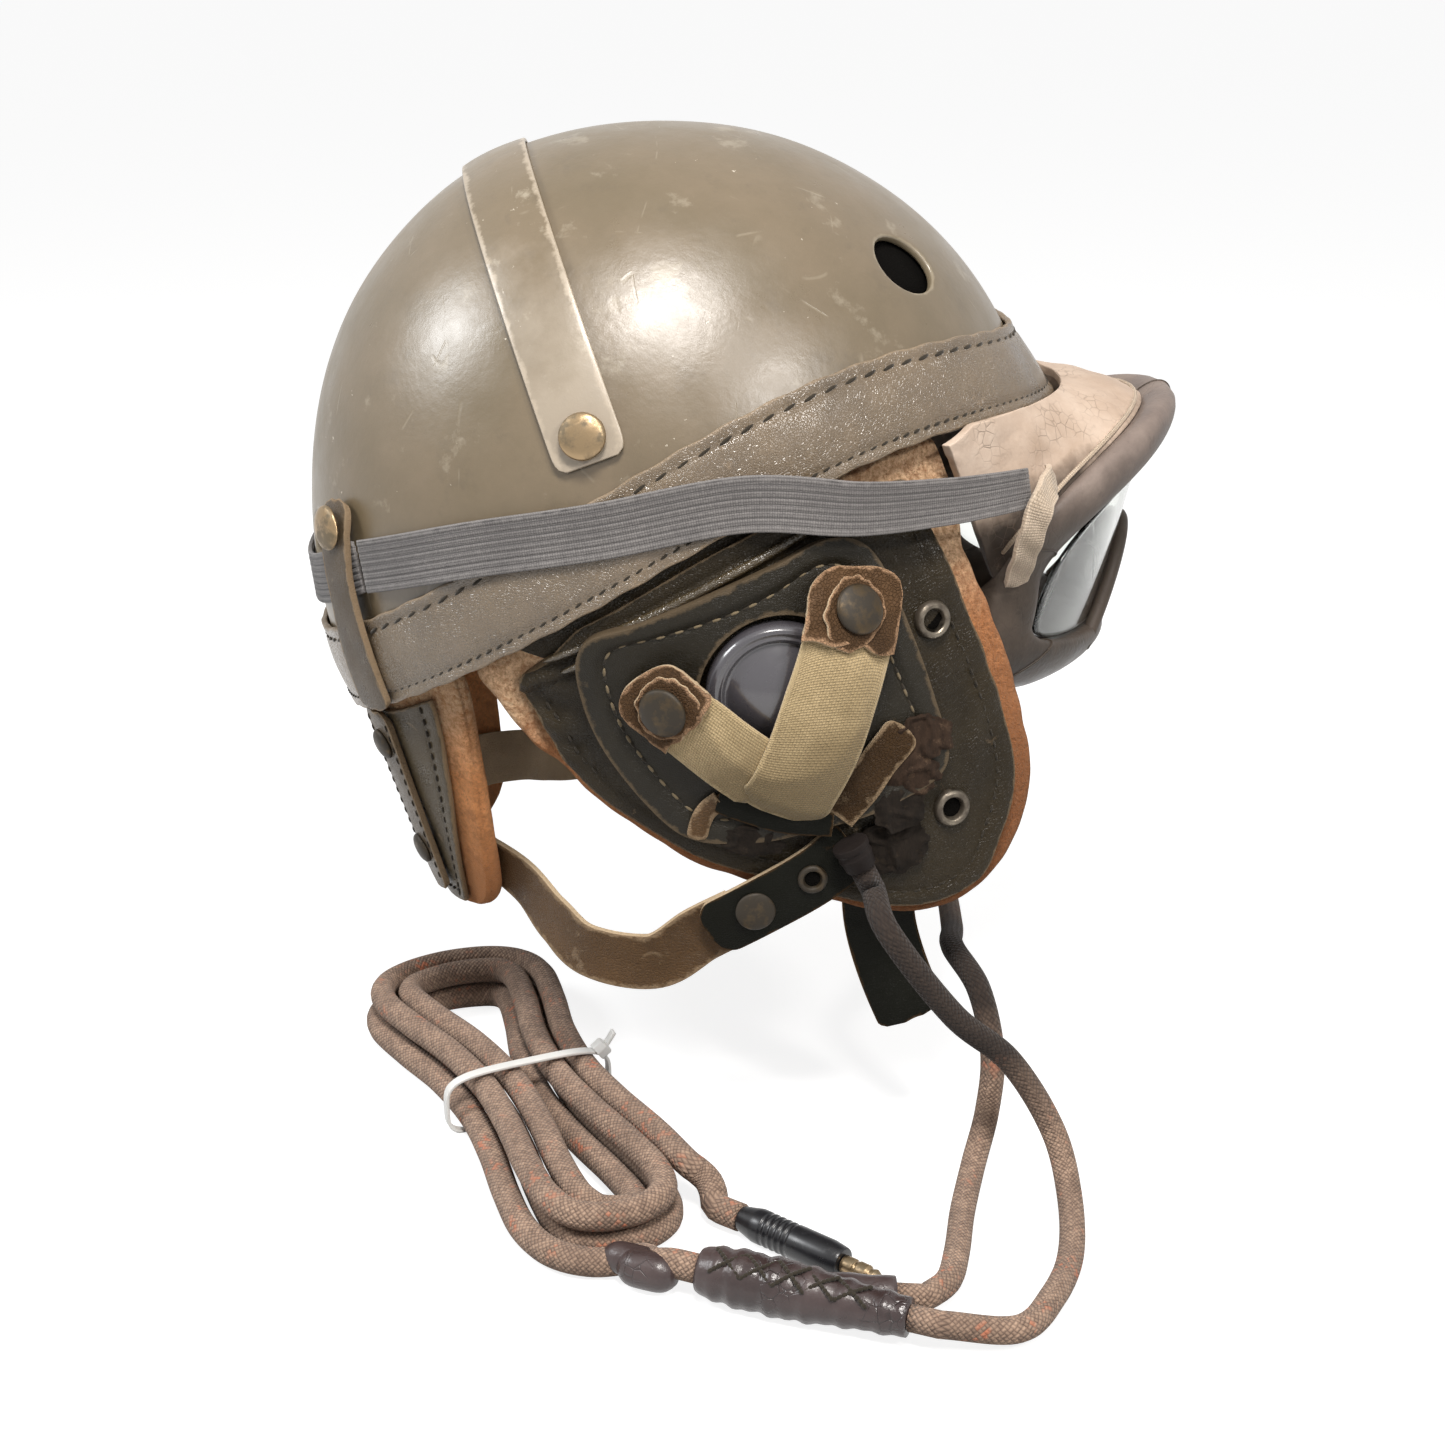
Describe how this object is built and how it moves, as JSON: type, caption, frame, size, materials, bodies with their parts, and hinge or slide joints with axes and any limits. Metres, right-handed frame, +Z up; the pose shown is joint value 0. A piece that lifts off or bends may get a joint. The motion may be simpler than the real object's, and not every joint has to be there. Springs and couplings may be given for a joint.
{
  "type": "crew helmet with goggles",
  "caption": "Hard-shell crew helmet with hinged leather ear and neck flaps, earphone receivers under strap covers, strapped goggles and a tied cord with a plug.",
  "frame": {"origin": "middle of the head opening, where the wearer's head seats at the level of the shell's side rim", "axes": "+X forward over the goggles, +Y to the wearer's left, +Z up; the helmet is held tipped back by 19 degrees, as on the stand in the picture"},
  "size_m": [0.3071, 0.358, 0.3349],
  "materials": {
    "fibre": "satin olive paint, scratched",
    "leather": "painted olive, worn",
    "dark_leather": "dark, oiled",
    "suede": "raw suede",
    "bakelite": "glossy black",
    "webbing": "khaki weave",
    "brass": "dull, painted over",
    "rubber": "matt, aged",
    "hood_rubber": "matt, faded",
    "clear": "clear",
    "elastic": "ribbed elastic",
    "tape": "frayed cloth tape",
    "felt": "felt and chamois",
    "braid": "braided cotton with flecks",
    "sleeve": "dark laced leather",
    "nylon": "white"
  },
  "bodies": {
    "helmet": {"shell": "fibre", "rim_band": "leather", "sweatband": "dark_leather", "crown_pad": "felt", "crown_strap": "leather", "crown_rivet_right": "brass", "crown_rivet_left": "brass", "goggle_strap_rear": "elastic", "cord_right": "braid", "cord_left": "braid", "splice_sleeve": "sleeve", "cord_hank": "braid", "hank_tie": "nylon", "plug_shell": "bakelite", "plug_tip": "brass"},
    "neck_flap": {"neck_flap": "dark_leather", "neck_lining": "suede", "flap_spring_right": "leather", "flap_spring_left": "leather", "neck_strap_right": "leather", "neck_strap_left": "leather"},
    "goggles": {"goggle_frame": "rubber", "goggle_hood": "hood_rubber", "goggle_lens": "clear", "goggle_loop_right": "tape", "goggle_loop_left": "tape", "goggle_strap_right": "elastic", "goggle_strap_left": "elastic"},
    "ear_flap_right": {"ear_flap_right": "dark_leather", "ear_lining_right": "suede", "receiver_panel_right": "dark_leather", "receiver_right": "bakelite", "ear_cushion_right": "felt", "strap_tab_right": "dark_leather", "chin_strap_right": "dark_leather", "cord_gland_right": "sleeve", "cord_upper_right": "braid"},
    "receiver_strap_right": {"receiver_strap_right": "webbing", "strap_snap_front_right": "brass", "strap_snap_rear_right": "brass"},
    "keeper_right": {"keeper_right": "leather", "keeper_snap_right": "brass"},
    "ear_flap_left": {"ear_flap_left": "dark_leather", "ear_lining_left": "suede", "receiver_panel_left": "dark_leather", "receiver_left": "bakelite", "ear_cushion_left": "felt", "strap_tab_left": "dark_leather", "chin_strap_left": "dark_leather", "cord_gland_left": "sleeve", "cord_upper_left": "braid"},
    "receiver_strap_left": {"receiver_strap_left": "webbing", "strap_snap_front_left": "brass", "strap_snap_rear_left": "brass"},
    "keeper_left": {"keeper_left": "leather", "keeper_snap_left": "brass"}
  },
  "joints": [
    {"name": "neck_flap_swing", "type": "hinge", "parent": "helmet", "child": "neck_flap", "pos_m": [-0.11019, 0, -0.08236], "axis": [0, 1, 0], "range_deg": [0, 25], "stiffness_Nm_per_rad": 0.12, "springref_deg": -17.19},
    {"name": "goggles_lift", "type": "hinge", "parent": "helmet", "child": "goggles", "pos_m": [-0.10619, 0, -0.02334], "axis": [0, -1, 0], "range_deg": [0, 15]},
    {"name": "ear_flap_right_swing", "type": "hinge", "parent": "helmet", "child": "ear_flap_right", "pos_m": [0.00374, -0.1065, -0.01087], "axis": [-0.8987, 0, -0.4386], "range_deg": [0, 28]},
    {"name": "receiver_strap_right_open", "type": "hinge", "parent": "ear_flap_right", "child": "receiver_strap_right", "pos_m": [0.03581, -0.11781, -0.10401], "axis": [0.9455, 0, 0.3256], "range_deg": [0, 45]},
    {"name": "keeper_right_open", "type": "hinge", "parent": "helmet", "child": "keeper_right", "pos_m": [-0.10601, -0.06228, -0.07352], "axis": [0.5351, -0.8244, 0.1843], "range_deg": [0, 40]},
    {"name": "ear_flap_left_swing", "type": "hinge", "parent": "helmet", "child": "ear_flap_left", "pos_m": [0.00374, 0.1065, -0.01087], "axis": [0.8987, 0, 0.4386], "range_deg": [0, 28]},
    {"name": "receiver_strap_left_open", "type": "hinge", "parent": "ear_flap_left", "child": "receiver_strap_left", "pos_m": [0.03581, 0.11781, -0.10401], "axis": [-0.9455, 0, -0.3256], "range_deg": [0, 45]},
    {"name": "keeper_left_open", "type": "hinge", "parent": "helmet", "child": "keeper_left", "pos_m": [-0.10601, 0.06228, -0.07352], "axis": [-0.5351, -0.8244, -0.1843], "range_deg": [0, 40]}
  ]
}
